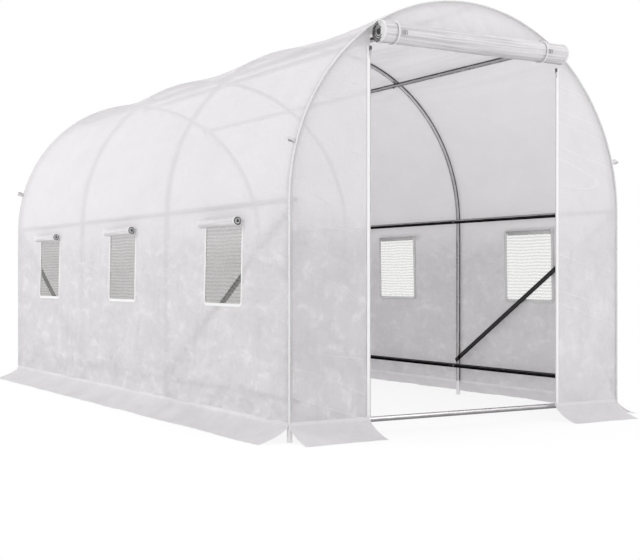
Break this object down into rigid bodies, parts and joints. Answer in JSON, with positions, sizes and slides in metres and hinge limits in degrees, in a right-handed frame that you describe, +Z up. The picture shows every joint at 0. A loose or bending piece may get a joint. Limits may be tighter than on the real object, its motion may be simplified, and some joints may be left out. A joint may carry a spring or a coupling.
{
  "type": "polytunnel greenhouse",
  "caption": "Walk-in tunnel greenhouse: round-topped steel hoops with purlins, rails and braces under a fitted cover with mesh windows, skirts and a rolled-up zip door.",
  "frame": {"origin": "centre of the base rectangle, on the ground under the middle of the tunnel", "axes": "+X to the right when facing the doorway, +Y toward the closed back end, +Z up"},
  "size_m": [2.3094, 4.3294, 2.0698],
  "materials": {
    "galvanised_tube": "zinc coated round tube",
    "cover_sheet": "translucent reinforced sheet",
    "piping": "white binding",
    "zip_tape": "white woven tape with a coil zip",
    "insect_mesh": "fine woven mesh",
    "webbing": "grey webbing"
  },
  "bodies": {
    "root": {"back_ground_rail": "galvanised_tube", "back_hoop": "galvanised_tube", "back_panel": "cover_sheet", "back_piping": "piping", "back_skirt": "cover_sheet", "door_roll": "cover_sheet", "door_ties": "webbing", "front_ground_rail": "galvanised_tube", "front_header": "cover_sheet", "front_hoop": "galvanised_tube", "front_left_panel": "cover_sheet", "front_left_skirt": "cover_sheet", "front_piping": "piping", "front_right_panel": "cover_sheet", "front_right_skirt": "cover_sheet", "guy_loops": "webbing", "left_back_brace": "galvanised_tube", "left_front_brace": "galvanised_tube", "left_low_rail": "galvanised_tube", "left_mid_rail": "galvanised_tube", "left_shoulder_purlin": "galvanised_tube", "left_skirt": "cover_sheet", "left_wall": "cover_sheet", "left_window_flaps": "cover_sheet", "left_window_mesh": "insect_mesh", "left_window_tape": "zip_tape", "left_zip": "zip_tape", "ridge_purlin": "galvanised_tube", "right_back_brace": "galvanised_tube", "right_front_brace": "galvanised_tube", "right_low_rail": "galvanised_tube", "right_mid_rail": "galvanised_tube", "right_shoulder_purlin": "galvanised_tube", "right_skirt": "cover_sheet", "right_wall": "cover_sheet", "right_window_flaps": "cover_sheet", "right_window_mesh": "insect_mesh", "right_window_tape": "zip_tape", "right_zip": "zip_tape", "roof_cover": "cover_sheet", "second_hoop": "galvanised_tube", "third_hoop": "galvanised_tube"}
  },
  "joints": []
}
